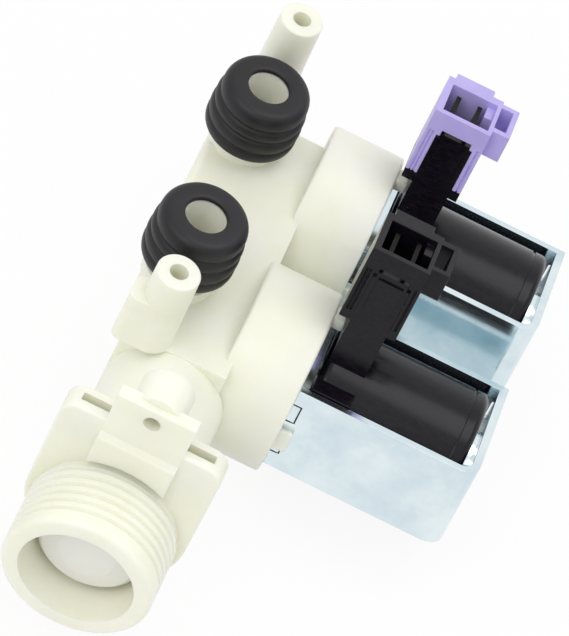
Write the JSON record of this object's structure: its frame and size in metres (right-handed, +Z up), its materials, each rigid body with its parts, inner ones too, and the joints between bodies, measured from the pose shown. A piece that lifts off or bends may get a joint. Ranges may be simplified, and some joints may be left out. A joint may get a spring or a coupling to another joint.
{
  "type": "washing machine inlet valve",
  "caption": "Twin solenoid water inlet valve with a threaded inlet, flow regulator, sleeved outlets, screw posts and upright connectors.",
  "frame": {"origin": "centre of the inlet's front face", "axes": "+Y along the inlet bore into the valve, +X along the valve axes to the solenoids, +Z up the outlets"},
  "size_m": [0.0688, 0.1169, 0.0529],
  "materials": {
    "body_plastic": "satin moulded cream-white plastic",
    "strainer_plastic": "satin moulded white plastic",
    "regulator_plastic": "satin moulded plastic",
    "black_plastic": "satin moulded glass-filled plastic",
    "lilac_plastic": "satin moulded lilac plastic",
    "black_rubber": "matte moulded rubber",
    "zinc_steel": "bright zinc plate",
    "armature_steel": "ground stainless steel",
    "spring_steel": "drawn stainless wire",
    "tinned_brass": "tinned sheet brass",
    "copper": "enamelled copper wire"
  },
  "bodies": {
    "valve": {"valve_body": "body_plastic", "inlet_strainer": "strainer_plastic", "regulator_seat": "regulator_plastic", "regulator_washer": "black_rubber", "outlet_sleeve_near": "black_rubber", "diaphragm_near": "black_rubber", "guide_tube_near": "black_plastic", "armature_spring_near": "spring_steel", "frame_yoke_near": "zinc_steel", "frame_strap_near": "zinc_steel", "pole_bush_inner_near": "zinc_steel", "pole_bush_outer_near": "zinc_steel", "coil_bobbin_near": "black_plastic", "coil_winding_near": "copper", "coil_cover_near": "black_plastic", "terminal_blades_near": "tinned_brass", "connector_housing_near": "black_plastic", "outlet_sleeve_far": "black_rubber", "diaphragm_far": "black_rubber", "guide_tube_far": "black_plastic", "armature_spring_far": "spring_steel", "frame_yoke_far": "zinc_steel", "frame_strap_far": "zinc_steel", "pole_bush_inner_far": "zinc_steel", "pole_bush_outer_far": "zinc_steel", "coil_bobbin_far": "black_plastic", "coil_winding_far": "copper", "coil_cover_far": "black_plastic", "terminal_blades_far": "tinned_brass", "connector_housing_far": "lilac_plastic"},
    "armature_near": {"armature_near": "armature_steel", "armature_seal_near": "black_rubber"},
    "insert_near": {"diaphragm_insert_near": "regulator_plastic"},
    "armature_far": {"armature_far": "armature_steel", "armature_seal_far": "black_rubber"},
    "insert_far": {"diaphragm_insert_far": "regulator_plastic"}
  },
  "joints": [
    {"name": "armature_lift_near", "type": "slide", "parent": "valve", "child": "armature_near", "axis": [1, 0, 0], "range_m": [0, 0.0024], "stiffness_N_per_m": 100, "springref_m": -0.008, "deforming": ["armature_spring_near"]},
    {"name": "insert_lift_near", "type": "slide", "parent": "valve", "child": "insert_near", "axis": [1, 0, 0], "range_m": [0, 0.0018], "deforming": ["diaphragm_near"]},
    {"name": "armature_lift_far", "type": "slide", "parent": "valve", "child": "armature_far", "axis": [1, 0, 0], "range_m": [0, 0.0024], "stiffness_N_per_m": 100, "springref_m": -0.008, "deforming": ["armature_spring_far"]},
    {"name": "insert_lift_far", "type": "slide", "parent": "valve", "child": "insert_far", "axis": [1, 0, 0], "range_m": [0, 0.0018], "deforming": ["diaphragm_far"]}
  ],
  "couplings": [
    {"joint": "insert_lift_near", "follows": "armature_lift_near", "ratio": 0.75},
    {"joint": "insert_lift_far", "follows": "armature_lift_far", "ratio": 0.75}
  ]
}
